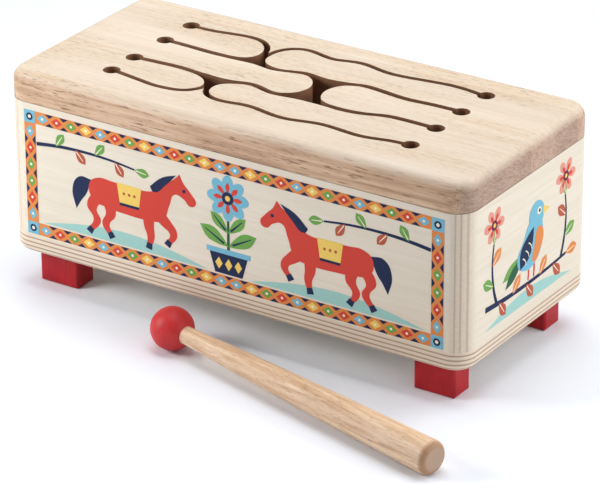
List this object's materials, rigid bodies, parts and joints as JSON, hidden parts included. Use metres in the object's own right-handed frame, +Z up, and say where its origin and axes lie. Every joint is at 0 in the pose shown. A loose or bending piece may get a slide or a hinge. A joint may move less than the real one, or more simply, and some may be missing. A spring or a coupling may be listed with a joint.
{
  "type": "wooden tongue drum",
  "caption": "Box-shaped wooden tongue drum on block feet, with wavy sawn tongues in its top board and a ball-headed wooden mallet lying beside it.",
  "frame": {"origin": "on the floor, under the middle of the whole set of drum and mallet; the drum's own middle is at x -12.5 mm, y 38 mm", "axes": "+X along the drum towards its right end, +Y from the printed front towards the back, +Z up from the feet"},
  "size_m": [0.3246, 0.2106, 0.1325],
  "materials": {
    "solid_wood_top": "edge-glued pale hardwood, sanded, clear matt lacquer",
    "birch_plywood": "birch plywood with bare rounded edges, clear matt lacquer, printed decoration on its faces",
    "red_stained_wood": "hardwood with opaque red stain and satin lacquer",
    "turned_hardwood": "turned open-pored hardwood, sanded, clear matt lacquer"
  },
  "bodies": {
    "drum": {"top_board": "solid_wood_top", "front_panel": "birch_plywood", "back_panel": "birch_plywood", "left_end_panel": "birch_plywood", "right_end_panel": "birch_plywood", "base_panel": "birch_plywood", "foot_front_left": "red_stained_wood", "foot_front_right": "red_stained_wood", "foot_back_left": "red_stained_wood", "foot_back_right": "red_stained_wood"},
    "mallet": {"mallet_head": "red_stained_wood", "mallet_handle": "turned_hardwood"}
  },
  "joints": [
    {"name": "mallet_lift", "type": "slide", "parent": "drum", "child": "mallet", "axis": [0, 0, 1], "range_m": [0, 0.2]}
  ]
}
